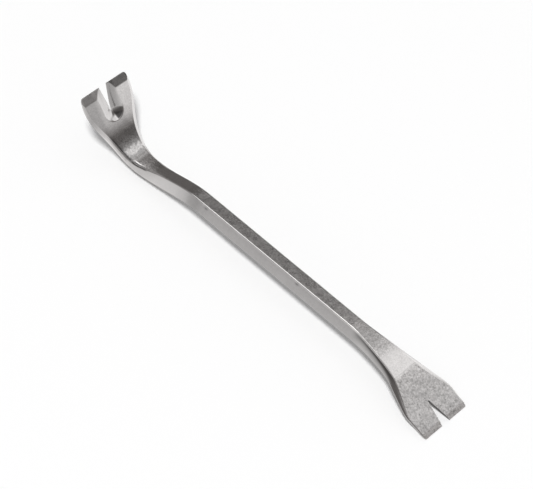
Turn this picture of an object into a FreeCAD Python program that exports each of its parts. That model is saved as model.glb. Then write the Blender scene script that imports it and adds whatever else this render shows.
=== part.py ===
import FreeCAD, Part
import math
import os

# Double-ended nail puller / pry bar forged from one length of hexagonal bar,
# 14 mm across flats. Millimetres. +Z up, +X along the shank toward the flat
# claw, Y across the bar. Origin: middle of the overall length, on the symmetry
# plane, on the plane the bar rests on (heel of the bent claw, flat claw tips).

V = FreeCAD.Vector

# ---------------------------------------------------------------- dimensions
REST_DROP = 25.915     # shank top flat above the resting plane
X_SHIFT = 2.796        # puts X = 0 at the middle of the overall length

R_RIDGE = 0.9          # rounding of the edges of the upper face
R_SIDE = 0.8           # rounding of the side edges
R_BACK = 1.4           # rounding of the underside edges
MAX_CUT = 0.42         # most of a side that one rounding may take up
SIDE_TAN = math.tan(math.radians(30.0))   # slope of the lower side facets

# Stations run from the shank outward along the upper (inner) face. Columns:
# x, height of the face above the shank top flat, half width of the face,
# half width at the side edge, depth of the side edge, thickness.
BENT = [
    (-58.0, 0.00, 4.04, 8.08, 7.00, 14.0),
    (-61.0, 0.00, 4.04, 8.08, 7.00, 14.0),
    (-64.0, -0.03, 4.04, 8.08, 7.00, 14.0),
    (-68.0, -0.25, 4.00, 8.10, 7.00, 14.0),
    (-72.0, -0.80, 3.95, 8.12, 6.97, 14.0),
    (-76.0, -1.60, 3.92, 8.14, 6.90, 14.0),
    (-80.0, -2.55, 3.90, 8.16, 6.80, 14.0),
    (-86.0, -4.20, 3.88, 8.18, 6.60, 13.9),
    (-94.0, -6.57, 3.92, 8.19, 6.30, 13.65),
    (-102.0, -8.98, 4.12, 8.22, 6.02, 13.5),
    (-109.0, -11.02, 4.85, 8.33, 5.62, 13.28),
    (-114.5, -12.40, 5.68, 8.55, 5.22, 13.08),
    (-118.8, -13.10, 6.33, 8.78, 4.90, 12.83),
    (-122.6, -13.25, 6.78, 9.03, 4.50, 12.35),
    (-126.4, -12.75, 7.05, 9.42, 3.95, 11.6),
    (-130.2, -11.32, 7.38, 9.95, 3.35, 10.5),
    (-133.8, -9.10, 7.95, 10.70, 2.75, 8.95),
    (-137.3, -6.15, 8.80, 11.70, 2.20, 7.5),
    (-140.8, -2.50, 10.05, 13.15, 1.75, 6.1),
    (-143.9, 1.60, 11.70, 14.90, 1.40, 5.0),
    (-146.8, 6.20, 13.75, 16.85, 1.20, 4.15),
    (-149.6, 11.25, 15.95, 18.60, 1.05, 3.5),
    (-152.2, 16.55, 17.50, 19.70, 0.92, 3.0),
    (-154.55, 21.60, 18.10, 20.05, 0.82, 2.6),
    (-156.5, 25.85, 18.00, 19.75, 0.75, 2.3),
    (-157.6, 28.25, 17.65, 19.15, 0.72, 2.15),
    (-158.05, 29.25, 17.10, 18.45, 0.70, 2.1),
]

# Flat claw, neck part: smooth run from the shank to the crease.
NECK = [
    (74.0, 0.00, 4.04, 8.08, 7.00, 14.0),
    (77.0, 0.00, 4.08, 8.09, 7.00, 14.0),
    (80.0, -0.07, 4.22, 8.10, 6.95, 13.9),
    (85.0, -0.42, 4.65, 8.20, 6.65, 13.45),
    (91.0, -1.02, 5.28, 8.52, 6.15, 12.7),
    (98.0, -1.93, 6.08, 9.12, 5.50, 11.6),
    (105.0, -3.12, 6.95, 9.90, 4.85, 10.4),
    (112.0, -4.72, 7.95, 10.90, 4.20, 9.1),
    (118.3, -6.60, 9.15, 12.15, 3.60, 7.9),
]

# Flat claw, blade part: crease, flare, shoulders and tines.
BLADE = [
    NECK[-1],
    (123.0, -9.30, 10.60, 13.70, 2.95, 6.6),
    (128.0, -12.10, 12.50, 15.40, 2.30, 5.25),
    (132.5, -14.50, 14.50, 16.90, 1.75, 4.15),
    (136.6, -16.55, 16.50, 18.10, 1.30, 3.3),
    (139.9, -18.05, 17.75, 18.60, 1.05, 2.75),
    (143.4, -19.60, 17.90, 18.50, 0.88, 2.4),
    (148.5, -21.75, 17.70, 18.20, 0.74, 2.05),
    (153.5, -23.80, 17.40, 17.85, 0.64, 1.8),
    (154.7, -24.30, 16.90, 17.35, 0.60, 1.75),
]

# V shaped nail slot through the flat claw
SLOT_LENGTH = 17.2     # apex to tine tips, along the blade
SLOT_MOUTH = 6.8       # between the tine tips
SLOT_APEX_R = 0.50

# Nail slot of the bent claw: a narrow slot in the floor of a wide shallow
# trough that ends in a deeper round dish. Distances are back from the tips,
# along a chord of the face. Trough and dish hang from a reference line sunk
# below that chord.
NAIL_MOUTH = 6.2       # slot width between the tips
NAIL_WAIST = 1.7       # slot width where the nail is gripped
NAIL_WAIST_AT = 13.0
NAIL_END = 19.6
NAIL_END_R = 0.40
TROUGH_R = 20.0        # cross curvature of the trough
TROUGH_DEPTH = 1.45
TROUGH_OVERRUN = 8.0   # how far the trough cutter reaches past the tips
DISH_R = 12.0
DISH_DEPTH = 2.6
DISH_AT = 18.6         # centre of the dish
CHORD_RUN = 26.0       # length of face that the chord spans
SINK_TIP = 0.20        # reference line below the chord at the tips
SINK_ROOT = 0.35       # and at the far end

# Chisel bevels of the tips, on the upper face
BENT_BEVEL = 6.0
BENT_EDGE = 1.0        # thickness left at the edge
FLAT_BEVEL = 3.6
FLAT_EDGE = 0.9

# How far the cutters reach beyond the metal
SLOT_OVERRUN = 4.0     # past the tips
SLOT_REACH = 8.0       # above and below the face
BEVEL_OVERRUN = 3.0    # past the tips
BEVEL_HALF_WIDTH = 30.0


# -------------------------------------------------------------------- frames
def frame_at(station, slope, inward=1.0):
    """Local frame on the face of a station, at the given slope (dz/dx angle).
    Returns a function that turns (along, across, up) into a world point;
    inward is the sign of X toward which 'along' runs."""
    x, z = station[0] + X_SHIFT, station[1] + REST_DROP
    cos, sin = math.cos(slope), math.sin(slope)

    def place(along, across, up):
        return V(x + inward * along * cos - up * sin, across,
                 z + inward * along * sin + up * cos)
    return place


def distance(first, second):
    """Distance between two stations, along the face."""
    return math.hypot(second[0] - first[0], second[1] - first[1])


def face_slopes(table):
    """Slope of the face at each station, from its neighbours."""
    before = table[:1] + table[:-1]
    after = table[1:] + table[-1:]
    return [math.atan((b[1] - a[1]) / (b[0] - a[0])) for a, b in zip(before, after)]


# ------------------------------------------------------------------ sections
def section(station, slope):
    """Six sided section square to the face. Returns its rounded corners,
    each as the four poles of a cubic arc."""
    place = frame_at(station, slope)
    face, side, depth, thick = station[2:]
    back = side - SIDE_TAN * (thick - depth)
    outline = [V(0, -face, 0), V(0, face, 0), V(0, side, -depth),
               V(0, back, -thick), V(0, -back, -thick), V(0, -side, -depth)]
    radii = [R_RIDGE, R_RIDGE, R_SIDE, R_BACK, R_BACK, R_SIDE]

    corners = []
    for i, corner in enumerate(outline):
        to_prev = outline[i - 1] - corner
        to_next = outline[(i + 1) % 6] - corner
        half = 0.5 * to_prev.getAngle(to_next)
        # the rounding shrinks where a side is too short for it
        cut = min(radii[i] / math.tan(half), MAX_CUT * to_prev.Length,
                  MAX_CUT * to_next.Length)
        radius = cut * math.tan(half)
        turn = math.pi - 2.0 * half
        inner = cut - 4.0 / 3.0 * math.tan(turn / 4.0) * radius
        to_prev.normalize()
        to_next.normalize()
        poles = [corner + to_prev * cut, corner + to_prev * inner,
                 corner + to_next * inner, corner + to_next * cut]
        corners.append([place(p.x, p.y, p.z) for p in poles])
    return corners


def section_face(corners):
    edges = []
    for i, poles in enumerate(corners):
        arc = Part.BezierCurve()
        arc.setPoles(poles)
        edges.append(arc.toShape())
        edges.append(Part.LineSegment(poles[3], corners[(i + 1) % 6][0]).toShape())
    return Part.Face(Part.Wire(edges))


def skin(table, slopes):
    """Closed solid through the sections: curves along the bar share one
    parametrisation, so neighbouring strips meet on the same edge."""
    sections = [section(station, slope) for station, slope in zip(table, slopes)]
    lengths = [0.0]
    for first, second in zip(table[:-1], table[1:]):
        lengths.append(lengths[-1] + distance(first, second))
    parameters = [length / lengths[-1] for length in lengths]

    def curve_along(corner, pole):
        curve = Part.BSplineCurve()
        curve.interpolate(Points=[sec[corner][pole] for sec in sections],
                          Parameters=parameters)
        return curve

    rows = [[curve_along(i, j) for j in range(4)] for i in range(6)]
    knots = rows[0][0].getKnots()
    mults = rows[0][0].getMultiplicities()
    faces = []
    for i in range(6):
        # a rounded corner strip, then the flat strip to the next corner
        flat = [rows[i][3], rows[(i + 1) % 6][0]]
        for curves, degree in ((rows[i], 3), (flat, 1)):
            surface = Part.BSplineSurface()
            surface.buildFromPolesMultsKnots(
                [curve.getPoles() for curve in curves],
                [degree + 1, degree + 1], mults, [0.0, 1.0], knots,
                False, False, degree, 3)
            faces.append(surface.toShape())
    faces += [section_face(sections[0]), section_face(sections[-1])]
    shell = Part.Shell(faces)
    shell.sewShape()
    solid = Part.Solid(shell)
    if solid.Volume < 0:
        solid.reverse()
    return solid


# ------------------------------------------------------------------- cutters
def slot_cutter(place, mouth, stops):
    """Slot symmetric about Y = 0. stops are (distance back, half width) from
    the first narrowing to the start of the round end, whose radius is the
    last half width."""
    first_back, first_half = stops[0]
    flare = (0.5 * mouth - first_half) / first_back
    side = [(-SLOT_OVERRUN, 0.5 * mouth + SLOT_OVERRUN * flare)] + stops
    right = [place(back, -half, -SLOT_REACH) for back, half in side]
    left = [place(back, half, -SLOT_REACH) for back, half in reversed(side)]
    end = place(sum(stops[-1]), 0, -SLOT_REACH)

    def lines(points):
        return [Part.LineSegment(a, b).toShape() for a, b in zip(points[:-1], points[1:])]

    arc = Part.Arc(right[-1], end, left[0]).toShape()
    wire = Part.Wire(lines(right) + [arc] + lines(left + right[:1]))
    return Part.Face(wire).extrude(place(0, 0, SLOT_REACH) - place(0, 0, -SLOT_REACH))


def bevel_cutter(place, length, drop, overlap, height):
    """Wedge that takes 'drop' off the upper face at the tips, running out
    'length' back from them. It reaches 'overlap' further back, up to 'height'."""
    grade = drop / length
    outline = [(length + overlap, overlap * grade),
               (-BEVEL_OVERRUN, -drop - BEVEL_OVERRUN * grade),
               (-BEVEL_OVERRUN, height), (length + overlap, height)]
    points = [place(back, -BEVEL_HALF_WIDTH, up) for back, up in outline]
    points.append(points[0])
    return Part.Face(Part.makePolygon(points)).extrude(V(0, 2.0 * BEVEL_HALF_WIDTH, 0))


def point_back(table, run):
    """(x, z) of the face at 'run' back from the last station."""
    for outer, inner in zip(reversed(table), reversed(table[:-1])):
        step = distance(outer, inner)
        if step >= run:
            break
        run -= step
    share = run / step
    return (outer[0] + (inner[0] - outer[0]) * share,
            outer[1] + (inner[1] - outer[1]) * share)


def bent_claw_cutters():
    """Nail slot, trough and dish, all set out from a chord of the face."""
    tip = BENT[-1]
    root = point_back(BENT, CHORD_RUN)
    chord = distance(tip, root)
    place = frame_at(tip, math.atan2(root[1] - tip[1], root[0] - tip[0]))

    def centre(back, up):
        sink = SINK_TIP + (SINK_ROOT - SINK_TIP) * back / chord
        return place(back, 0, up - sink)

    nail = slot_cutter(place, NAIL_MOUTH, [(NAIL_WAIST_AT, 0.5 * NAIL_WAIST),
                                           (NAIL_END - NAIL_END_R, NAIL_END_R)])
    near = centre(-TROUGH_OVERRUN, TROUGH_R - TROUGH_DEPTH)
    axis = centre(DISH_AT, TROUGH_R - TROUGH_DEPTH) - near
    trough = Part.makeCylinder(TROUGH_R, axis.Length, near, axis)
    dish = Part.makeSphere(DISH_R, centre(DISH_AT, DISH_R - DISH_DEPTH))
    return [nail, trough, dish]


# ----------------------------------------------------------------------- bar
# The first two stations of each end stay square to the shank.
bent_slopes = face_slopes(BENT)
bent_slopes[:2] = [0.0, 0.0]
neck_slopes = face_slopes(NECK)
neck_slopes[:2] = [0.0, 0.0]
blade_slopes = face_slopes(BLADE)
# Neck and blade share one section at the crease.
neck_slopes[-1] = blade_slopes[0] = 0.5 * (neck_slopes[-1] + blade_slopes[0])

bent = skin(BENT, bent_slopes)
neck = skin(NECK, neck_slopes)
blade = skin(BLADE, blade_slopes)
shank = section_face(section(BENT[0], 0.0)).extrude(V(NECK[0][0] - BENT[0][0], 0, 0))
bar = shank.fuse([bent, neck, blade])

# Flat claw: both cuts follow the slope of the blade behind the tips.
on_blade = frame_at(BLADE[-1], blade_slopes[-3], inward=-1.0)
bar = bar.cut(slot_cutter(on_blade, SLOT_MOUTH,
                          [(SLOT_LENGTH - SLOT_APEX_R, SLOT_APEX_R)]))
bar = bar.cut(bevel_cutter(on_blade, FLAT_BEVEL, drop=BLADE[-1][5] - FLAT_EDGE,
                           overlap=3.0, height=8.0))

# Bent claw
for cutter in bent_claw_cutters():
    bar = bar.cut(cutter)
on_bent_tip = frame_at(BENT[-1], bent_slopes[-2])
bar = bar.cut(bevel_cutter(on_bent_tip, BENT_BEVEL, drop=BENT[-1][5] - BENT_EDGE,
                           overlap=4.0, height=10.0))

# Write a lone solid bare, without the compound that the booleans wrap it in.
if len(bar.Solids) == 1:
    bar = bar.Solids[0]

os.makedirs("parts", exist_ok=True)
bar.exportStep("parts/forged_bar.step")
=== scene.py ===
# Forged pry bar of plated steel on a pale floor.
# The bar lies along X with its working face up: the bent claw is at -X, the flat claw at +X.
# Bar geometry is in millimetres, and becomes metres when the meshes are made.
import math

import bmesh
import bpy
import numpy as np
from mathutils import Matrix, Vector
from mathutils import kdtree
from mathutils import noise as mnoise


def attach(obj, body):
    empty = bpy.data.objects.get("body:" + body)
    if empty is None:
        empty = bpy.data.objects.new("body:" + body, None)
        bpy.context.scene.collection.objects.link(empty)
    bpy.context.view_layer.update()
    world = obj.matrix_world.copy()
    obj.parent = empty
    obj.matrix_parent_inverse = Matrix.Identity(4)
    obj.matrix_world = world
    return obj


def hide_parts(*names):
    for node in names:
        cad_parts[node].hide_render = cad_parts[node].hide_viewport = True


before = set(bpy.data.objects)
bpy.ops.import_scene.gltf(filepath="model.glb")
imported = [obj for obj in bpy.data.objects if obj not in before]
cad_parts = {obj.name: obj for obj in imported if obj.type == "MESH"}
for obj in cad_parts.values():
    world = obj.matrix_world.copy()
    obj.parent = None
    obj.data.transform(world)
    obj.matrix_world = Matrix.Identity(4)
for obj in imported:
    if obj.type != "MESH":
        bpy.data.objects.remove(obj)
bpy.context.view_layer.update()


NODE = "forged_bar"
BODY = "root"
MM_PER_M = 1000.0

# ---------------------------------------------------------------- dimensions
REST_DROP = 25.915                                  # raises the bar on to the floor
X_SHIFT = 2.796
FACE_RADIUS, SIDE_RADIUS, BACK_RADIUS = 0.9, 0.8, 1.4    # section corners
LOWER_SIDE_TAN = math.tan(math.radians(30.0))

# Stations: x and z of the face, half width of the face, greatest half width,
# depth of the widest line below the face, thickness.
BENT = [
    (-58.0, 0.00, 4.04, 8.08, 7.00, 14.0), (-61.0, 0.00, 4.04, 8.08, 7.00, 14.0),
    (-64.0, -0.03, 4.04, 8.08, 7.00, 14.0), (-68.0, -0.25, 4.00, 8.10, 7.00, 14.0),
    (-72.0, -0.80, 3.95, 8.12, 6.97, 14.0), (-76.0, -1.60, 3.92, 8.14, 6.90, 14.0),
    (-80.0, -2.55, 3.90, 8.16, 6.80, 14.0), (-86.0, -4.20, 3.88, 8.18, 6.60, 13.9),
    (-94.0, -6.57, 3.92, 8.19, 6.30, 13.65), (-102.0, -8.98, 4.12, 8.22, 6.02, 13.5),
    (-109.0, -11.02, 4.85, 8.33, 5.62, 13.28), (-114.5, -12.40, 5.68, 8.55, 5.22, 13.08),
    (-118.8, -13.10, 6.33, 8.78, 4.90, 12.83), (-122.6, -13.25, 6.78, 9.03, 4.50, 12.35),
    (-126.4, -12.75, 7.05, 9.42, 3.95, 11.6), (-130.2, -11.32, 7.38, 9.95, 3.35, 10.5),
    (-133.8, -9.10, 7.95, 10.70, 2.75, 8.95), (-137.3, -6.15, 8.80, 11.70, 2.20, 7.5),
    (-140.8, -2.50, 10.05, 13.15, 1.75, 6.1), (-143.9, 1.60, 11.70, 14.90, 1.40, 5.0),
    (-146.8, 6.20, 13.75, 16.85, 1.20, 4.15), (-149.6, 11.25, 15.95, 18.60, 1.05, 3.5),
    (-152.2, 16.55, 17.50, 19.70, 0.92, 3.0), (-154.55, 21.60, 18.10, 20.05, 0.82, 2.6),
    (-156.5, 25.85, 18.00, 19.75, 0.75, 2.3), (-157.6, 28.25, 17.65, 19.15, 0.72, 2.15),
    (-158.05, 29.25, 17.10, 18.45, 0.70, 2.1),
]
NECK = [
    (74.0, 0.00, 4.04, 8.08, 7.00, 14.0), (77.0, 0.00, 4.08, 8.09, 7.00, 14.0),
    (80.0, -0.07, 4.22, 8.10, 6.95, 13.9), (85.0, -0.42, 4.65, 8.20, 6.65, 13.45),
    (91.0, -1.02, 5.28, 8.52, 6.15, 12.7), (98.0, -1.93, 6.08, 9.12, 5.50, 11.6),
    (105.0, -3.12, 6.95, 9.90, 4.85, 10.4), (112.0, -4.72, 7.95, 10.90, 4.20, 9.1),
    (118.3, -6.60, 9.15, 12.15, 3.60, 7.9),
]
BLADE = [
    NECK[-1], (123.0, -9.30, 10.60, 13.70, 2.95, 6.6),
    (128.0, -12.10, 12.50, 15.40, 2.30, 5.25), (132.5, -14.50, 14.50, 16.90, 1.75, 4.15),
    (136.6, -16.55, 16.50, 18.10, 1.30, 3.3), (139.9, -18.05, 17.75, 18.60, 1.05, 2.75),
    (143.4, -19.60, 17.90, 18.50, 0.88, 2.4), (148.5, -21.75, 17.70, 18.20, 0.74, 2.05),
    (153.5, -23.80, 17.40, 17.85, 0.64, 1.8), (154.7, -24.30, 16.90, 17.35, 0.60, 1.75),
]
CREASE_X = -126.4                                   # station at the bend's inner crease

SLOT_LENGTH, SLOT_MOUTH, SLOT_END_R = 17.2, 6.8, 0.50    # slot of the flat claw
NAIL_MOUTH, NAIL_WAIST, NAIL_WAIST_AT = 6.2, 1.7, 13.0   # slot of the bent claw
NAIL_END, NAIL_END_R = 19.6, 0.40
SLOT_OVERRUN, SLOT_REACH = 4.0, 8.0                 # cutter past the tip, and above and below
TROUGH_DEPTH = 1.45                                 # hollow at the bent tips
DISH_R, DISH_DEPTH, DISH_EXTRA, DISH_AT = 12.0, 2.6, 0.35, 18.6    # and at its round end
GROOVE_END, GROOVE_SINK, GROOVE_SINK_END = 26.0, 0.20, 0.35
BENT_BEVEL, BENT_EDGE = 6.0, 1.0                    # bevel length, thickness left at the tip
FLAT_BEVEL, FLAT_EDGE = 3.6, 0.9
BEVEL_FILLET = 0.05

CLAW_STEP, NECK_STEP, SHANK_STEP = 0.32, 0.42, 0.50      # longest gaps between rows
BENT_CLAW_LENGTH = 62.0                             # finely stepped part of the bent end
TIP_R, TIP_ROWS = 0.22, 6                           # rounding of the tip edges

# Section corners 0-5 run from the face's -Y edge to its +Y edge and on round the
# underside; side i runs from corner i to i + 1. A column's zone is its side number,
# or CORNER plus its corner number.
ARC_STEPS = [6, 6, 6, 5, 5, 6]
SIDE_STEPS = [84, 14, 12, 40, 12, 14]
CORNER = 10
FACE, UPPER_PLUS, LOWER_PLUS, UNDER, LOWER_MINUS, UPPER_MINUS = range(6)
FACE_EDGE_MINUS, FACE_EDGE_PLUS, WIDEST_PLUS, BACK_PLUS, BACK_MINUS, WIDEST_MINUS = range(
    CORNER, CORNER + 6)
POLE_VALUES = 6 * 4 * 3                             # four cubic poles of x, y, z per corner


# ------------------------------------------------------------ blending curves
def linear(x, lo, hi):
    return np.clip((x - lo) / (hi - lo), 0.0, 1.0)


def ramp(x, lo, hi):
    """Smooth rise from 0 to 1."""
    t = linear(x, lo, hi)
    return t * t * (3.0 - 2.0 * t)


def fall(x, lo, hi):
    return 1.0 - ramp(x, lo, hi)


def plateau(x, rise_lo, rise_hi, fall_lo, fall_hi):
    return ramp(x, rise_lo, rise_hi) * fall(x, fall_lo, fall_hi)


def curve(x, table):
    """Straight interpolation through (x, value) pairs."""
    return np.interp(x, *zip(*table))


def soft_positive(t, e):
    """t above zero, nothing below it, with a fillet of half height e between."""
    return np.where(t > e, t, np.where(t < -e, 0.0, (t + e) ** 2 / (4.0 * e)))


# -------------------------------------------------------- sections and splines
def station_angles(table):
    """Angle of the face at each station, measured towards +X."""
    out = []
    last = len(table) - 1
    for i in range(len(table)):
        a, b = table[max(i - 1, 0)], table[min(i + 1, last)]
        sign = 1.0 if b[0] > a[0] else -1.0
        out.append(math.atan2(sign * (b[1] - a[1]), sign * (b[0] - a[0])))
    return out


def corner_poles(station, angle):
    """24 poles (x, y, z): six rounded corners of four cubic poles each."""
    x, z, face_half, wide_half, wide_depth, thick = station
    back_half = wide_half - LOWER_SIDE_TAN * (thick - wide_depth)
    corners = [(-face_half, 0.0), (face_half, 0.0), (wide_half, -wide_depth),
               (back_half, -thick), (-back_half, -thick), (-wide_half, -wide_depth)]
    radii = [FACE_RADIUS, FACE_RADIUS, SIDE_RADIUS, BACK_RADIUS, BACK_RADIUS, SIDE_RADIUS]
    up_x, up_z = -math.sin(angle), math.cos(angle)
    start_x, start_z = x + X_SHIFT, z + REST_DROP
    out = []
    for i in range(6):
        here = corners[i]
        arms = []
        for other in (corners[i - 1], corners[(i + 1) % 6]):
            dy, dz = other[0] - here[0], other[1] - here[1]
            length = math.hypot(dy, dz)
            arms.append((dy / length, dz / length, length))
        before, after = arms
        cosine = before[0] * after[0] + before[1] * after[1]
        half = 0.5 * math.acos(max(-1.0, min(1.0, cosine)))
        cut = min(radii[i] / math.tan(half), 0.42 * before[2], 0.42 * after[2])
        radius = cut * math.tan(half)
        handle = cut - 4.0 / 3.0 * math.tan((math.pi - 2.0 * half) / 4.0) * radius
        for arm, reach in ((before, cut), (before, handle), (after, handle), (after, cut)):
            y, depth = here[0] + arm[0] * reach, here[1] + arm[1] * reach
            out.append((start_x + depth * up_x, y, start_z + depth * up_z))
    return out


def end_slope(t, y):
    """Slope at t[0] of the cubic through the first four points."""
    count = min(4, len(t))
    out = np.zeros_like(y[0])
    for j in range(count):
        # derivative of the Lagrange basis j at t[0]
        if j == 0:
            weight = sum(1.0 / (t[0] - t[k]) for k in range(1, count))
        else:
            weight = 1.0 / (t[j] - t[0])
            for k in range(1, count):
                if k != j:
                    weight *= (t[0] - t[k]) / (t[j] - t[k])
        out = out + weight * y[j]
    return out


class Spline:
    """Clamped cubic spline through rows of y at t."""

    def __init__(self, t, y):
        count = len(t)
        h = np.diff(t)
        rise = np.diff(y, axis=0) / h[:, None]
        matrix = np.zeros((count, count))
        target = np.zeros((count, y.shape[1]))
        matrix[0, 0] = matrix[-1, -1] = 1.0
        target[0], target[-1] = end_slope(t, y), end_slope(t[::-1], y[::-1])
        for i in range(1, count - 1):
            matrix[i, i - 1] = h[i]
            matrix[i, i] = 2.0 * (h[i - 1] + h[i])
            matrix[i, i + 1] = h[i - 1]
            target[i] = 3.0 * (h[i] * rise[i - 1] + h[i - 1] * rise[i])
        self.t, self.y, self.slopes = t, y, np.linalg.solve(matrix, target)

    def at(self, where):
        where = np.asarray(where, float)
        i = np.clip(np.searchsorted(self.t, where, side="right") - 1, 0, len(self.t) - 2)
        h = (self.t[i + 1] - self.t[i])[:, None]
        u = (where - self.t[i])[:, None] / h
        y0, y1, m0, m1 = self.y[i], self.y[i + 1], self.slopes[i], self.slopes[i + 1]
        return ((2 * u ** 3 - 3 * u ** 2 + 1) * y0 + (u ** 3 - 2 * u ** 2 + u) * h * m0
                + (-2 * u ** 3 + 3 * u ** 2) * y1 + (u ** 3 - u ** 2) * h * m1)


def path_spline(table, station_angle):
    """Spline of the poles and the face angle over the path length."""
    path = [0.0]
    for p, q in zip(table[:-1], table[1:]):
        path.append(path[-1] + math.hypot(q[0] - p[0], q[1] - p[1]))
    poles = [corner_poles(st, a) for st, a in zip(table, station_angle)]
    poles = np.array(poles).reshape(len(table), POLE_VALUES)
    return Spline(np.array(path), np.hstack([poles, np.array(station_angle)[:, None]]))


# -------------------------------------------------------- rows along the bar
def spread(lo, hi, step):
    return np.linspace(lo, hi, max(2, int(math.ceil((hi - lo) / step))) + 1)


def tip_places(length, start, stop):
    """Places of the close rows that round a tip edge."""
    return np.array([length - TIP_R * (1 - math.cos(a)) for a in np.linspace(start, stop, TIP_ROWS)])


def straighten_crease(values, row_at, spline):
    """Keeps the inner crease crisp: rows near it run straight between stations."""
    i = [st[0] for st in BENT].index(CREASE_X)
    s_low, s_crease, s_high = spline.t[i - 1:i + 2]
    v_low, v_crease, v_high = spline.at([s_low, s_crease, s_high])
    for r in range(len(row_at)):
        s = spline.t[-1] - row_at[r]
        if not s_low < s < s_high:
            continue
        s_end, v_end = (s_low, v_low) if s < s_crease else (s_high, v_high)
        away = (s - s_crease) / (s_end - s_crease)
        straight = v_crease * (1 - away) + v_end * away
        share = min(1.0, max(0.0, 1.0 - (away - 0.45) / 0.5))
        values[r] = values[r] * (1 - share) + straight * share


def lay_rows(bent, neck, blade):
    """Spline values and path position of every row, from bent tips to flat tips."""
    bent_length, neck_length, blade_length = bent.t[-1], neck.t[-1], blade.t[-1]
    claw_start = bent_length - BENT_CLAW_LENGTH
    places = np.concatenate([tip_places(bent_length, 0, math.pi / 2),
                             spread(claw_start, bent_length - TIP_R, CLAW_STEP)[::-1][1:],
                             spread(0.0, claw_start, SHANK_STEP)[::-1][1:]])
    values = bent.at(places)
    row_at = bent_length - places
    # straight shank between the two splined ends
    shank = NECK[0][0] - BENT[0][0]
    share = spread(0.0, 1.0, SHANK_STEP / shank)[1:]
    shank_values = values[-1][None] * (1 - share[:, None]) + neck.at([0.0]) * share[:, None]
    values = np.vstack([values, shank_values])
    row_at = np.concatenate([row_at, row_at[-1] + shank * share])
    blade_places = np.concatenate([spread(0.0, blade_length - TIP_R, CLAW_STEP)[1:],
                                   tip_places(blade_length, math.pi / 2, 0)[1:]])
    for spline, places in ((neck, spread(0.0, neck_length, NECK_STEP)[1:]), (blade, blade_places)):
        values = np.vstack([values, spline.at(places)])
        row_at = np.concatenate([row_at, row_at[-1] + places])
    straighten_crease(values, row_at, bent)
    return values, row_at


def section_columns(poles):
    """Points round every row, arcs and straight sides, with the zone of each column."""
    columns, zones = [], []
    for i in range(6):
        p = poles[:, i]
        for j in range(ARC_STEPS[i]):
            t = j / ARC_STEPS[i]
            weights = [(1 - t) ** 3, 3 * t * (1 - t) ** 2, 3 * t * t * (1 - t), t ** 3]
            columns.append(sum(weights[m] * p[:, m] for m in range(4)))
            zones.append(CORNER + i)
        start, stop = p[:, 3], poles[:, (i + 1) % 6, 0]
        for j in range(SIDE_STEPS[i]):
            t = j / SIDE_STEPS[i]
            columns.append(start * (1 - t) + stop * t)
            zones.append(i)
    return np.stack(columns, axis=1), np.array(zones)


bent_angles = station_angles(BENT)
neck_angles = station_angles(NECK)
blade_angles = station_angles(BLADE)
bent_angles[0] = bent_angles[1] = neck_angles[0] = neck_angles[1] = 0.0
neck_angles[-1] = blade_angles[0] = 0.5 * (neck_angles[-1] + blade_angles[0])

row_values, row_at = lay_rows(path_spline(BENT, bent_angles), path_spline(NECK, neck_angles),
                              path_spline(BLADE, blade_angles))
LENGTH = row_at[-1]
skin, zone = section_columns(row_values[:, :POLE_VALUES].reshape(-1, 6, 4, 3))
ROWS, COLUMNS = skin.shape[:2]
on_face = np.isin(zone, [FACE, FACE_EDGE_MINUS, FACE_EDGE_PLUS])
face_angle = row_values[:, POLE_VALUES]
row_up = np.stack([-np.sin(face_angle), np.zeros(ROWS), np.cos(face_angle)], axis=1)

# ------------------------------------------------------- hollow and bevels
bent_tip = np.array([BENT[-1][0] + X_SHIFT, 0.0, BENT[-1][1] + REST_DROP])
flat_tip = np.array([BLADE[-1][0] + X_SHIFT, 0.0, BLADE[-1][1] + REST_DROP])


def groove_chord():
    """Direction and length from the bent tip to the face point GROOVE_END along it."""
    left = GROOVE_END
    points = [(st[0] + X_SHIFT, st[1] + REST_DROP) for st in BENT[::-1]]
    for p, q in zip(points, points[1:]):
        step = math.hypot(q[0] - p[0], q[1] - p[1])
        if step >= left:
            dx = p[0] + (q[0] - p[0]) * left / step - bent_tip[0]
            dz = p[1] + (q[1] - p[1]) * left / step - bent_tip[2]
            length = math.hypot(dx, dz)
            return np.array([dx / length, 0.0, dz / length]), length
        left -= step


def cut_hollow():
    """Sinks the hollow round the bent claw's slot; returns where it lies, 0 to 1."""
    claw = row_at < 36.0
    points = skin[claw]
    from_tip = points - bent_tip
    along = from_tip @ chord_dir
    half_width = math.sqrt(DISH_R ** 2 - (DISH_R - DISH_DEPTH) ** 2)
    past = np.maximum(0.0, along - DISH_AT)
    across = points[:, :, 1] - 0.7 * linear(along, 8.0, 18.0)    # drifts towards +Y
    radius = np.sqrt(across ** 2 + past ** 2)
    # deeper towards the round end, a little shallower on the -Y half
    depth = TROUGH_DEPTH + (DISH_DEPTH + DISH_EXTRA - TROUGH_DEPTH) * linear(along, 0.0, DISH_AT)
    depth = depth * (1.0 - 0.24 * ramp(-across, 0.5, 4.5))
    sphere = (half_width ** 2 + depth ** 2) / (2.0 * depth)
    profile = np.sqrt(np.maximum(sphere ** 2 - radius ** 2, 0.0)) - (sphere - depth)
    profile += GROOVE_SINK + (GROOVE_SINK_END - GROOVE_SINK) * along / chord_length
    tilt = np.clip(row_up[claw] @ chord_up, 0.5, 1.0)[:, None]
    cut = soft_positive((profile + from_tip @ chord_up) / tilt, 0.30 + 0.25 * ramp(-across, 0.0, 4.0))
    cut = np.where(radius > half_width + 3.0, 0.0, cut) * on_face
    skin[claw] = points - row_up[claw][:, None, :] * cut[..., None]
    hollow = np.zeros((ROWS, COLUMNS))
    hollow[claw] = np.clip(cut / 0.4, 0, 1)
    return hollow


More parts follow.
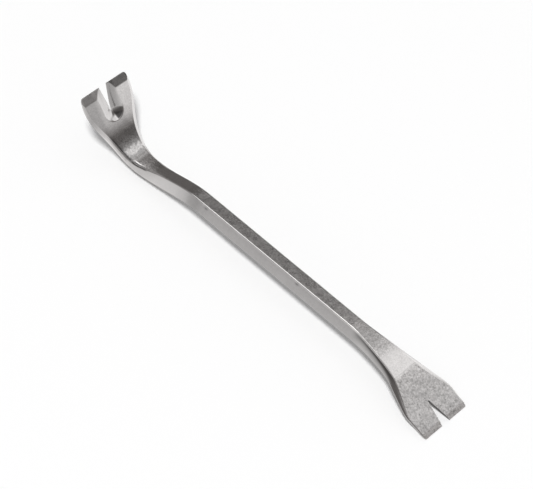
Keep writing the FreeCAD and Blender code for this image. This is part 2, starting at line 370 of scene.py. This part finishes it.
def cut_bevel(near_tip, tip, angle, inward_sign, length, drop):
    """Grinds a chisel bevel at one end; returns where it lies, 0 to 1."""
    inward = inward_sign * np.array([math.cos(angle), 0.0, math.sin(angle)])
    up = np.array([-math.sin(angle), 0.0, math.cos(angle)])
    from_tip = skin[near_tip] - tip
    above = from_tip @ up + drop * (1.0 - from_tip @ inward / length)
    # move along the section's own normal so that the point lands on the plane
    gain = (row_up[near_tip] @ (up - drop / length * inward))[:, None]
    lift = soft_positive(above, BEVEL_FILLET) / gain
    skin[near_tip] = skin[near_tip] - row_up[near_tip][:, None, :] * lift[..., None]
    bevelled = np.zeros((ROWS, COLUMNS))
    bevelled[near_tip] = np.clip(above / 0.12, 0, 1)
    return bevelled


chord_dir, chord_length = groove_chord()
chord_up = np.array([-chord_dir[2], 0.0, chord_dir[0]])
hollow = cut_hollow()
bent_bevel = cut_bevel(row_at < 9.0, bent_tip, bent_angles[-2], inward_sign=1.0,
                       length=BENT_BEVEL, drop=BENT[-1][5] - BENT_EDGE)
flat_bevel = cut_bevel(row_at > LENGTH - 6.0, flat_tip, blade_angles[-3], inward_sign=-1.0,
                       length=FLAT_BEVEL, drop=BLADE[-1][5] - FLAT_EDGE)

# ------------------------------------------------------------ surface relief
smooth_skin = skin.reshape(-1, 3).copy()            # points that the noise is read at
row_x = (skin[:, :, 0] - X_SHIFT).mean(axis=1)
polish = plateau(row_x, 99.0, 106.0, 117.6, 118.6)  # band before the flat claw's crease
# distance in from the face's -Y edge
from_minus_edge = skin[:, :, 1] - skin[:, np.where(zone == FACE)[0][0], 1][:, None]


def noise_grid(size, seed):
    """Smooth noise about -1..1; size is the feature size in mm."""
    offset = Vector((seed * 13.7, seed * 7.1 + 3.0, seed * 3.3 - 5.0))
    k = 1.0 / size
    values = [mnoise.noise(Vector((x * k, y * k, z * k)) + offset) for x, y, z in smooth_skin]
    return (np.array(values) * 1.6).reshape(ROWS, COLUMNS)


def grid_normals(points):
    """Outward normals of the grid."""
    along = np.empty_like(points)
    along[1:-1] = points[2:] - points[:-2]
    along[0], along[-1] = points[1] - points[0], points[-1] - points[-2]
    round_ = np.roll(points, -1, axis=1) - np.roll(points, 1, axis=1)
    normals = np.cross(along, round_)
    return normals / np.maximum(np.linalg.norm(normals, axis=2, keepdims=True), 1e-9)


def facet_width(columns):
    return np.linalg.norm(skin[:, columns[-1]] - skin[:, columns[0]], axis=1)


def forged_grain():
    """How much forged grain each point carries: most on the upper and lower faces."""
    zone_grain = {
        FACE: 1.0, UNDER: 0.8, UPPER_PLUS: 0.12, UPPER_MINUS: 0.12,
        LOWER_PLUS: 0.15, LOWER_MINUS: 0.15, FACE_EDGE_MINUS: 0.45, FACE_EDGE_PLUS: 0.45,
        WIDEST_PLUS: 0.1, WIDEST_MINUS: 0.1, BACK_PLUS: 0.4, BACK_MINUS: 0.4,
    }
    amount = 1.0 - 0.85 * plateau(row_at, 70.0, 76.0, 108.0, 116.0)    # neck of the bent claw
    amount *= 1.0 - 0.65 * fall(row_x, -146.0, -137.0)                  # bent claw's tines
    # part of the bend, up to 60 mm from the tips
    amount *= 1.0 - 0.50 * plateau(row_x, -127.5, -125.0, -114.0, -109.0) * (row_at < 60)
    amount *= 1.0 - 0.62 * polish
    amount *= 1.0 + 0.45 * ramp(row_x, 118.0, 119.0)                    # flat claw
    amount *= 1.0 + 0.30 * plateau(row_x, -68.0, -64.0, 76.0, 80.0)     # shank
    grain = np.array([zone_grain[int(z)] for z in zone])
    return grain[None, :] * amount[:, None] * (1.0 - 0.8 * hollow)


def relief_height():
    """Height in mm added square to the surface."""
    height = 0.022 * noise_grid(16.0, seed=1.0)
    height += 0.008 * noise_grid(5.0, seed=2.0) * (0.4 + 0.6 * forged)
    height += forged * (0.011 * noise_grid(1.35, seed=3.0) + 0.005 * noise_grid(0.8, seed=4.0))
    swell = 0.006 + 0.030 * ramp(row_x, 80.0, 100.0)
    roll_reach = 0.45 + 0.25 * ramp(row_x, 98.0, 118.0)
    bend_root = plateau(row_x, -150.0, -142.0, -124.0, -117.0)
    for side in (UPPER_PLUS, UPPER_MINUS):
        columns = np.where(zone == side)[0]
        t = np.arange(len(columns)) / len(columns)
        width = facet_width(columns)
        # the facet swells between its edges, most on the flat claw
        height[:, columns] += (4.0 * t * (1.0 - t))[None, :] * (swell * width)[:, None]
        # and rolls off towards the face edge where the flat claw was drawn out
        down = t if side == UPPER_PLUS else 1.0 - t
        roll = np.maximum(0.0, 1.0 - down[None, :] / roll_reach[:, None]) ** 2
        height[:, columns] -= roll * (0.036 * width * ramp(row_x, 79.0, 88.0))[:, None]
        # thin hollow under the face edge along the bend and the claw's root
        depth = down[None, :] * width[:, None]
        groove = np.exp(-((depth - 0.28) / 0.30) ** 2)
        height[:, columns] -= 0.08 * groove * bend_root[:, None]
    # the -Y face edge rolls down beside the inner crease
    beside_crease = plateau(row_x, -127.0, -124.0, -114.0, -109.0)
    height -= 0.22 * fall(from_minus_edge, 0.9, 1.9) * beside_crease[:, None] * on_face
    return height * plateau(row_at, 0.2, 2.0, LENGTH - 2.0, LENGTH - 0.2)[:, None]


forged = forged_grain()
skin = skin + grid_normals(skin) * relief_height()[..., None]

# --------------------------------------------------------------------- painted reflection, shade and stains
# (x, brightness) of painted reflection and shade along the face and along the -Y and +Y side facets
PAINTED_FACE_LIGHT = [
    (-152, 1.00), (-148, 0.99), (-144, 1.15), (-139.6, 1.00), (-138, 0.70), (-131.4, 0.60),
    (-130.5, 0.75), (-129.6, 1.02), (-126.4, 0.95), (-125.2, 0.62), (-123.9, 0.60),
    (-123.3, 1.05), (-120, 1.08), (-114, 1.05), (-108, 0.72), (-100, 0.90), (-72, 0.92),
    (-66, 0.75), (-60, 0.69), (-40, 0.70), (0, 0.72), (40, 0.77), (70, 0.88), (78, 0.95),
    (80, 1.28), (86, 1.07), (92, 0.93), (100, 0.98), (108, 1.06), (114, 1.06), (120.8, 1.12),
    (121.4, 1.06), (124, 1.06), (130, 0.95), (136, 0.87), (142, 0.81), (148, 0.77), (160, 0.76),
]
PAINTED_MINUS_SIDE_LIGHT = [
    (-152, 1.02), (-148, 0.72), (-144, 0.98), (-140, 1.30), (-128, 1.30), (-124, 1.08),
    (-120, 0.98), (-114, 0.92), (-108, 1.02), (-100, 1.15), (-90, 1.08), (-80, 1.00),
    (-72, 0.88), (-66, 0.64), (-60, 0.58), (-54, 0.69), (-46, 0.73), (80, 0.75), (90, 0.82),
    (160, 0.85),
]
PAINTED_PLUS_SIDE_LIGHT = [
    (-150, 1.00), (-123, 0.97), (-115, 0.75), (-105, 0.62), (-97, 0.50), (-57, 0.20),
    (-37, 0.20), (3, 0.30), (63, 0.34), (86, 0.45), (96, 0.70), (104, 0.85), (117, 0.95),
    (160, 0.95),
]
TONE_ELSEWHERE = 0.95
STAIN_X, STAIN_Z = (-51.5, 32.3), 24.4              # two small stains on the -Y side


def paint_light_and_stains():
    """Painted reflections, highlights and shade on the steel, with its real stains, at each point."""
    y, z = skin[:, :, 1], skin[:, :, 2]
    on_side = np.isin(zone, [UPPER_PLUS, UPPER_MINUS, WIDEST_PLUS, WIDEST_MINUS])
    # the painted light's borders are ragged, most round the painted dark patch of the bend
    ragged = 0.3 + 2.0 * plateau(row_x, -137.0, -134.0, -131.0, -128.5)
    x = skin[:, :, 0] + ragged[:, None] * noise_grid(1.8, seed=6.0)
    # painted reflection and shade along x, read from the tables
    side_painted_light = np.where(y < 0, curve(x, PAINTED_MINUS_SIDE_LIGHT), curve(x, PAINTED_PLUS_SIDE_LIGHT))
    painted_light_and_stains = np.where(on_face, curve(x, PAINTED_FACE_LIGHT), np.where(on_side, side_painted_light, TONE_ELSEWHERE))
    # bent claw: painted highlight brightens the +Y tine outwards, painted shade darkens the -Y tine
    painted_tine_light = 0.22 * ramp(y, 5.0, 9.0) - 0.24 * ramp(-y, 7.0, 12.0)
    painted_light_and_stains *= 1.0 + painted_tine_light * fall(row_x, -147.0, -138.0)[:, None] * on_face
    # bevels: painted shade on the bent claw's +Y tine, painted highlight on its -Y tine and the flat
    # claw
    painted_light_and_stains *= 1.0 - bent_bevel * (1.0 - np.where(y > 0, 0.44, 1.05))
    painted_light_and_stains *= 1.0 + 0.90 * flat_bevel
    # painted highlight along the -Y face edge of the shank, painted shade along the +Y one
    painted_ridge_highlight = plateau(row_x, -64.0, -58.0, 79.0, 84.0)[:, None]
    painted_light_and_stains *= 1.0 + 0.36 * painted_ridge_highlight * (zone == FACE_EDGE_MINUS)
    painted_plus_edge_shade = plateau(row_x, -104.0, -96.0, 88.0, 100.0)[:, None]
    painted_light_and_stains *= 1.0 - 0.45 * painted_plus_edge_shade * (zone == FACE_EDGE_PLUS)
    # painted shade in the hollow, darkest low on its +Y side
    painted_light_and_stains *= 1.0 - 0.12 * hollow * fall(y, -0.6, 0.2)
    painted_light_and_stains *= 1.0 - 0.30 * hollow * ramp(y, 0.2, 1.2) * ramp(z, 36.6, 38.0)
    painted_pocket_shade = hollow * ramp(y, 0.9, 1.5) * fall(z, 36.3, 37.3)
    painted_light_and_stains *= 1.0 - painted_pocket_shade * (0.40 + 0.38 * fall(z, 33.4, 35.0))
    # painted shade along the -Y face edge of the bend; the array scale holds its strength
    columns = np.where(zone == UPPER_MINUS)[0]
    down = np.arange(len(columns), 0, -1) / len(columns)
    scale = np.where(on_face, np.exp(-(np.maximum(from_minus_edge, 0.0) / 0.9) ** 2), 0.0)
    scale[:, columns] = np.exp(-(down[None, :] * facet_width(columns)[:, None] / 0.5) ** 2)
    scale[:, zone == FACE_EDGE_MINUS] = 1.0
    painted_light_and_stains *= 1.0 - 0.62 * scale * plateau(row_x, -146.0, -141.0, -116.0, -110.0)[:, None]
    # painted shade in a band under the -Y face edge where the flat claw was drawn out
    painted_band_shade = 0.46 * plateau(row_x, 77.0, 84.0, 113.0, 121.0)[:, None]
    reach = 0.72 + 0.25 * ramp(row_x, 88.0, 104.0)[:, None]
    painted_light_and_stains[:, columns] *= 1.0 - painted_band_shade * (1.0 - np.clip((down - 0.10) / reach, 0.0, 1.0))
    for stain_x in STAIN_X:
        away = ((skin[:, :, 0] - stain_x) / 1.3) ** 2 + ((z - STAIN_Z) / 0.55) ** 2
        painted_light_and_stains *= 1.0 - 0.52 * np.exp(-away) * on_side * (y < 0)
    return painted_light_and_stains


def round_tips():
    """Draws the last rows in, so that the cut ends are rounded."""
    for r in [*range(TIP_ROWS), *range(ROWS - TIP_ROWS, ROWS)]:
        x = max(0.0, 1.0 - min(row_at[r], LENGTH - row_at[r]) / TIP_R)
        pull = TIP_R * (1.0 - math.sqrt(max(0.0, 1.0 - x * x)))
        level = skin[r] @ row_up[r]
        centre, half = 0.5 * (level.max() + level.min()), 0.5 * (level.max() - level.min())
        half_width = np.abs(skin[r, :, 1]).max()
        skin[r] = skin[r] - row_up[r][None] * ((level - centre) * pull / half)[:, None]
        skin[r, :, 1] *= 1.0 - pull / half_width


# painted reflections, highlights and shade, with the real stains
painted_light_and_stains = paint_light_and_stains()
round_tips()
skin_points = skin.reshape(-1, 3) / MM_PER_M


# ------------------------------------------------------------ build the mesh
def make_mesh(name, verts, faces):
    mesh = bpy.data.meshes.new(name)
    mesh.from_pydata([tuple(v) for v in verts], [], faces)
    mesh.validate()
    bm = bmesh.new()
    bm.from_mesh(mesh)
    bmesh.ops.recalc_face_normals(bm, faces=bm.faces)
    bm.to_mesh(mesh)
    bm.free()
    ob = bpy.data.objects.new(name, mesh)
    bpy.context.scene.collection.objects.link(ob)
    return ob


def solid_bar():
    index = np.arange(ROWS * COLUMNS).reshape(ROWS, COLUMNS)
    a, b = index[:-1], index[1:]
    quads = np.stack([a, np.roll(a, -1, axis=1), np.roll(b, -1, axis=1), b], axis=2)
    faces = [tuple(int(i) for i in f) for f in quads.reshape(-1, 4)]
    faces.append(tuple(int(i) for i in index[0][::-1]))
    faces.append(tuple(int(i) for i in index[-1]))
    return make_mesh("pry_bar_steel", skin_points, faces)


def slot_cutter(name, tip, inward, up, flank, end, end_radius):
    """Prism of a slot; flank lists (distance in from the tip, half width)."""
    outline = [(u, -half) for u, half in flank]
    steps = 8
    for i in range(steps + 1):
        a = -math.pi / 2 + math.pi * i / steps
        outline.append((end - end_radius + end_radius * math.cos(a), end_radius * math.sin(a)))
    outline += flank[::-1]
    points = np.array([tip + u * inward + np.array([0.0, y, 0.0]) for u, y in outline])
    verts = np.vstack([points - up * SLOT_REACH, points + up * SLOT_REACH]) / MM_PER_M
    n = len(outline)
    faces = [tuple(range(n))[::-1], tuple(range(n, 2 * n))]
    for i in range(n):
        j = (i + 1) % n
        faces.append((i, j, n + j, n + i))
    return make_mesh(name, verts, faces)


def cut_slots(bar, cutters):
    for cutter in cutters:
        mod = bar.modifiers.new("cut", "BOOLEAN")
        mod.operation = "DIFFERENCE"
        mod.solver = "EXACT"
        mod.object = cutter
    bpy.context.view_layer.update()
    depsgraph = bpy.context.evaluated_depsgraph_get()
    cut_mesh = bpy.data.meshes.new_from_object(bar.evaluated_get(depsgraph))
    bar.modifiers.clear()
    solid_mesh = bar.data
    bar.data = cut_mesh
    bpy.data.meshes.remove(solid_mesh)
    for cutter in cutters:
        bpy.data.objects.remove(cutter)
    bm = bmesh.new()
    bm.from_mesh(bar.data)
    bmesh.ops.remove_doubles(bm, verts=bm.verts, dist=2e-7)
    bmesh.ops.dissolve_degenerate(bm, edges=bm.edges, dist=2e-7)
    # close the pin holes the cut can leave at the corners of the tip faces
    bmesh.ops.holes_fill(bm, edges=[e for e in bm.edges if e.is_boundary], sides=12)
    bmesh.ops.recalc_face_normals(bm, faces=bm.faces)
    bm.to_mesh(bar.data)
    bm.free()


def store_grids(bar):
    """Carries the grids over to the cut mesh by nearest grid point."""
    tree = kdtree.KDTree(ROWS * COLUMNS)
    for i, point in enumerate(skin_points):
        tree.insert(point, i)
    tree.balance()
    nearest = np.array([tree.find(v.co)[1] for v in bar.data.vertices])
    grids = {
        "forged": forged,
        "ridge": np.isin(zone, [FACE_EDGE_MINUS, FACE_EDGE_PLUS]),
        "side_ridge": np.isin(zone, [WIDEST_PLUS, WIDEST_MINUS]),
        "bevel": bent_bevel,
        "painted_light_and_stains": painted_light_and_stains,
        "hollow": hollow,
        "polish": polish[:, None] * on_face,
        "along": row_at[:, None] / 100.0,
    }
    for name, grid in grids.items():
        values = np.broadcast_to(grid, (ROWS, COLUMNS)).reshape(-1)[nearest]
        attribute = bar.data.attributes.new(name, "FLOAT", "POINT")
        attribute.data.foreach_set("value", values.astype(np.float32))


def mark_slot_walls(bar):
    """Marks the walls of the flat claw's slot, which get painted shade in the material."""
    slot_wall_shade = np.zeros(len(bar.data.polygons), np.float32)
    for i, polygon in enumerate(bar.data.polygons):
        centre = np.array(polygon.center) * MM_PER_M - flat_tip
        normal = np.array(polygon.normal)
        u = float(centre @ flat_in)
        half = flat_half - flat_taper * u if u < SLOT_LENGTH - SLOT_END_R else SLOT_END_R
        upright = abs(float(normal @ flat_up)) < 0.35
        beside = -1.0 < u < SLOT_LENGTH + 0.1 and abs(float(centre[1])) < half + 0.1
        if upright and beside and abs(float(normal @ flat_in)) < 0.9:
            slot_wall_shade[i] = 1.0
    attribute = bar.data.attributes.new("slot_wall_shade", "FLOAT", "FACE")
    attribute.data.foreach_set("value", slot_wall_shade)


bar = solid_bar()
nail_half, waist_half = 0.5 * NAIL_MOUTH, 0.5 * NAIL_WAIST
nail_taper = (nail_half - waist_half) / NAIL_WAIST_AT
nail_cutter = slot_cutter(
    "cut_a", bent_tip, chord_dir, chord_up,
    flank=[(-SLOT_OVERRUN, nail_half + nail_taper * SLOT_OVERRUN), (NAIL_WAIST_AT, waist_half)],
    end=NAIL_END, end_radius=NAIL_END_R)
flat_in = np.array([-math.cos(blade_angles[-3]), 0.0, -math.sin(blade_angles[-3])])
flat_up = np.array([-math.sin(blade_angles[-3]), 0.0, math.cos(blade_angles[-3])])
flat_half = 0.5 * SLOT_MOUTH
flat_taper = (flat_half - SLOT_END_R) / (SLOT_LENGTH - SLOT_END_R)
flat_cutter = slot_cutter(
    "cut_b", flat_tip, flat_in, flat_up,
    flank=[(-SLOT_OVERRUN, flat_half + SLOT_OVERRUN * flat_taper)],
    end=SLOT_LENGTH, end_radius=SLOT_END_R)
cut_slots(bar, (nail_cutter, flat_cutter))
store_grids(bar)
for polygon in bar.data.polygons:
    polygon.use_smooth = True
mark_slot_walls(bar)
bar.data.set_sharp_from_angle(angle=math.radians(32.0))

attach(bar, BODY)
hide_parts(NODE)


# ---------------------------------------------------------------- material
class Graph:
    """Short names for building node maths."""

    def __init__(self, tree):
        self.new = tree.nodes.new
        self.link = tree.links.new

    def put(self, socket, value):
        if isinstance(value, bpy.types.NodeSocket):
            self.link(value, socket)
        else:
            socket.default_value = value

    def math(self, operation, first, second=0.0, clamp=False):
        node = self.new("ShaderNodeMath")
        node.operation = operation
        node.use_clamp = clamp
        for socket, value in zip(node.inputs, (first, second, 0.0)):
            self.put(socket, value)
        return node.outputs[0]

    def add(self, first, second, clamp=False):
        return self.math("ADD", first, second, clamp)

    def sub(self, first, second):
        return self.math("SUBTRACT", first, second)

    def mul(self, first, second, clamp=False):
        return self.math("MULTIPLY", first, second, clamp)

    def attribute(self, name):
        node = self.new("ShaderNodeAttribute")
        node.attribute_name = name
        return node.outputs["Fac"]

    def noise(self, place, scale, detail, roughness):
        node = self.new("ShaderNodeTexNoise")
        self.put(node.inputs["Vector"], place)
        node.inputs["Scale"].default_value = scale
        node.inputs["Detail"].default_value = detail
        node.inputs["Roughness"].default_value = roughness
        return node.outputs["Fac"]

    def smooth(self, x, lo, hi, start=0.0, stop=1.0):
        node = self.new("ShaderNodeMapRange")
        node.interpolation_type = "SMOOTHSTEP"
        self.put(node.inputs["Value"], x)
        for name, value in (("From Min", lo), ("From Max", hi), ("To Min", start), ("To Max", stop)):
            self.put(node.inputs[name], value)
        return node.outputs["Result"]

    def rgb(self, *channels):
        node = self.new("ShaderNodeCombineColor")
        for socket, value in zip(node.inputs, channels):
            self.put(socket, value)
        return node.outputs[0]


def plated_steel():
    mat = bpy.data.materials.new("plated_steel")
    mat.use_nodes = True
    bsdf = mat.node_tree.nodes["Principled BSDF"]
    g = Graph(mat.node_tree)
    place = g.new("ShaderNodeTexCoord").outputs["Object"]
    grain = g.attribute("forged")

    speck = g.noise(place, scale=820.0, detail=2.0, roughness=0.6)     # a little over 1 mm
    fine = g.noise(place, scale=2100.0, detail=2.0, roughness=0.6)
    blotch = g.noise(place, scale=260.0, detail=3.0, roughness=0.55)   # mottling about 4 mm
    cloud = g.noise(place, scale=45.0, detail=2.0, roughness=0.5)      # slow change along the bar
    pit = g.smooth(g.noise(place, scale=620.0, detail=1.5, roughness=0.5), lo=0.66, hi=0.76)

    def on_grain(share, base=None):
        """Amount that follows the forged grain, over a base amount."""
        amount = g.mul(grain, share)
        return amount if base is None else g.add(base, amount)

    def swing(noise, amount):
        """Noise about zero, scaled."""
        return g.mul(g.sub(noise, 0.5), amount)

    mottle_and_ridge_highlight = g.add(1.0, swing(cloud, 0.14))
    mottle_and_ridge_highlight = g.add(mottle_and_ridge_highlight, swing(blotch, on_grain(0.60, base=0.06)))
    mottle_and_ridge_highlight = g.add(mottle_and_ridge_highlight, swing(speck, on_grain(0.98)))
    mottle_and_ridge_highlight = g.add(mottle_and_ridge_highlight, swing(fine, on_grain(0.35, base=0.04)))
    mottle_and_ridge_highlight = g.sub(mottle_and_ridge_highlight, g.mul(pit, on_grain(0.22)))
    # painted highlight along the face edges
    mottle_and_ridge_highlight = g.add(mottle_and_ridge_highlight, g.mul(g.attribute("ridge"), 0.12))
    # overall brightness with the painted light and stains, then painted shade on the slot walls
    value = g.mul(g.mul(mottle_and_ridge_highlight, g.attribute("painted_light_and_stains")), 0.66, clamp=True)
    value = g.mul(value, g.sub(1.0, g.mul(g.attribute("slot_wall_shade"), 0.80)))
    # faintly warm steel
    g.link(g.rgb(value, g.mul(value, 0.983), g.mul(value, 0.977)), bsdf.inputs["Base Color"])
    bsdf.inputs["Metallic"].default_value = 1.0

    rough = g.add(on_grain(0.10, base=0.15), swing(blotch, 0.10))
    rough = g.add(rough, g.mul(pit, on_grain(0.12)))
    rough = g.add(rough, g.mul(g.attribute("bevel"), 0.10), clamp=True)
    g.link(rough, bsdf.inputs["Roughness"])

    bump = g.new("ShaderNodeBump")
    bump.inputs["Strength"].default_value = 1.0
    bump.inputs["Distance"].default_value = 0.00006
    relief = g.add(g.mul(speck, grain), g.mul(fine, on_grain(0.30, base=0.04)))
    g.link(relief, bump.inputs["Height"])
    g.link(bump.outputs[0], bsdf.inputs["Normal"])
    return mat


bar.data.materials.clear()
bar.data.materials.append(plated_steel())


# -------------------------------------------------------------------- floor
def add_object(name, data):
    ob = bpy.data.objects.new(name, data)
    bpy.context.scene.collection.objects.link(ob)
    return ob


floor_mesh = bpy.data.meshes.new("floor")
floor_mesh.from_pydata([(-3, -3, 0), (3, -3, 0), (3, 3, 0), (-3, 3, 0)], [], [(0, 1, 2, 3)])
floor = add_object("floor", floor_mesh)
floor.location.z = -0.0002
floor_mat = bpy.data.materials.new("floor")
floor_mat.use_nodes = True
floor_bsdf = floor_mat.node_tree.nodes["Principled BSDF"]
floor_bsdf.inputs["Base Color"].default_value = (0.9, 0.9, 0.9, 1)
floor_mesh.materials.append(floor_mat)
floor.visible_glossy = False

# ------------------------------------------------------------------- studio
# What the steel reflects. BACK (+Y) and OVER are long panels parallel to Y, laid out
# by angle from the zenith towards +X: (degrees, brightness).
BACK = [
    (-180, 0.45), (-100, 0.35), (-75, 0.16), (-50, 0.155), (-41, 0.165), (-34, 0.185),
    (-30, 0.212), (-27, 0.26), (-22, 0.32), (-18, 0.35), (-13, 0.44), (-8, 0.68), (-5, 0.86),
    (-2, 1.0), (2, 1.06), (10, 0.98), (16, 0.96), (24, 0.98), (29, 1.08), (34, 0.92),
    (39, 0.68), (44, 0.45), (49, 0.20), (55, 0.155), (68, 0.155), (75, 0.28), (81, 0.48),
    (89, 0.70), (105, 0.80), (140, 0.85), (180, 0.45),
]
OVER = [
    (-180, 0.55), (-100, 0.60), (-62, 0.24), (-46, 0.45), (-36, 1.55), (-25, 1.65),
    (-18, 1.10), (-13, 1.05), (-6, 0.85), (4, 0.62), (20, 0.45), (30, 0.45), (42, 0.19),
    (66, 0.19), (82, 0.50), (94, 0.70), (106, 0.80), (150, 0.80), (180, 0.55),
]
# Wall at -Y by elevation: (degrees, brightness)
FRONT = [
    (-90, 0.80), (-25, 0.85), (-10, 0.86), (-3, 0.80), (2, 0.72), (6, 0.52), (11, 0.28),
    (17, 0.17), (45, 0.17), (70, 0.45), (90, 0.85),
]
PEAK = 1.65                                         # ramp colours are stored as parts of this
SIDE_BRIGHTNESS = 1.15                              # low patch at +Y
FILL_STRENGTH = 0.385                               # even light for all but glossy rays


def panel(g, angle, table):
    lo, hi = table[0][0], table[-1][0]
    node = g.new("ShaderNodeValToRGB")
    g.put(node.inputs[0], g.math("DIVIDE", g.sub(angle, float(lo)), float(hi - lo)))
    stops = node.color_ramp.elements
    node.color_ramp.interpolation = "LINEAR"
    while len(stops) < len(table):
        stops.new(0.5)
    # all the places first, then the colours, so that the stops are already in order
    for stop, (degrees, _) in zip(stops, table):
        stop.position = (degrees - lo) / (hi - lo)
    for stop, (_, brightness) in zip(stops, table):
        stop.color = (brightness / PEAK,) * 3 + (1.0,)
    return g.mul(node.outputs[0], PEAK)


def build_world():
    world = bpy.data.worlds.new("studio")
    bpy.context.scene.world = world
    world.use_nodes = True
    nodes = world.node_tree.nodes
    for node in list(nodes):
        if node.type != "OUTPUT_WORLD":
            nodes.remove(node)
    output = nodes[0]
    g = Graph(world.node_tree)
    split = g.new("ShaderNodeSeparateXYZ")
    g.link(g.new("ShaderNodeTexCoord").outputs["Generated"], split.inputs[0])
    x, y, z = split.outputs
    around = g.mul(g.math("ARCTAN2", x, z), 180.0 / math.pi)
    elevation = g.mul(g.math("ARCSINE", z), 180.0 / math.pi)

    back_share = g.smooth(y, 0.10, 0.34)
    front_share = g.smooth(y, -0.62, -0.36, start=1.0, stop=0.0)
    side_share = g.mul(g.smooth(y, 0.60, 0.85), g.smooth(z, 0.15, 0.45, start=1.0, stop=0.0))
    over_share = g.sub(1.0, g.add(back_share, front_share))
    total = g.add(g.mul(panel(g, around, BACK), back_share),
                  g.mul(panel(g, elevation, FRONT), front_share))
    total = g.add(total, g.mul(panel(g, around, OVER), over_share))
    total = g.add(g.mul(total, g.sub(1.0, side_share)), g.mul(side_share, SIDE_BRIGHTNESS))

    # the room is faintly warm, which shows in the darker reflections
    room = g.new("ShaderNodeBackground")
    g.link(g.rgb(g.add(total, 0.010), total, g.sub(total, 0.005)), room.inputs["Color"])
    fill = g.new("ShaderNodeBackground")
    fill.inputs["Color"].default_value = (1.0, 1.0, 1.0, 1.0)
    fill.inputs["Strength"].default_value = FILL_STRENGTH
    mix = g.new("ShaderNodeMixShader")
    g.link(g.new("ShaderNodeLightPath").outputs["Is Glossy Ray"], mix.inputs[0])
    g.link(fill.outputs[0], mix.inputs[1])
    g.link(room.outputs[0], mix.inputs[2])
    g.link(mix.outputs[0], output.inputs[0])


build_world()

# ----------------------------------------------------------- key and camera
CAMERA_PLACE = Vector((0.5449, -0.5172, 0.9792))
CAMERA_RIGHT = Vector((0.6882, 0.7255, 0.0))
CAMERA_UP = Vector((-0.5688, 0.5396, 0.6208))
CAMERA_BACK = Vector((0.4504, -0.4272, 0.7840))
KEY_RAISE = 0.17                                    # key above the line of sight

key_data = bpy.data.lights.new("key", "SUN")
key_data.energy = 2.66
key_data.angle = math.radians(8.0)
key = add_object("key", key_data)
key_dir = (CAMERA_BACK + KEY_RAISE * CAMERA_UP).normalized()
key.rotation_euler = key_dir.to_track_quat("Z", "Y").to_euler()
key.visible_glossy = False

bpy.context.scene.view_settings.view_transform = "Standard"
bpy.context.scene.view_settings.look = "None"

cam_data = bpy.data.cameras.new("camera")
cam_data.sensor_width = 36.0
cam_data.lens = 130.1
cam_data.clip_start, cam_data.clip_end = 0.05, 20.0
cam = add_object("camera", cam_data)
axes = Matrix((CAMERA_RIGHT, CAMERA_UP, CAMERA_BACK)).transposed()
cam.matrix_world = Matrix.Translation(CAMERA_PLACE) @ axes.to_4x4()
bpy.context.scene.camera = cam
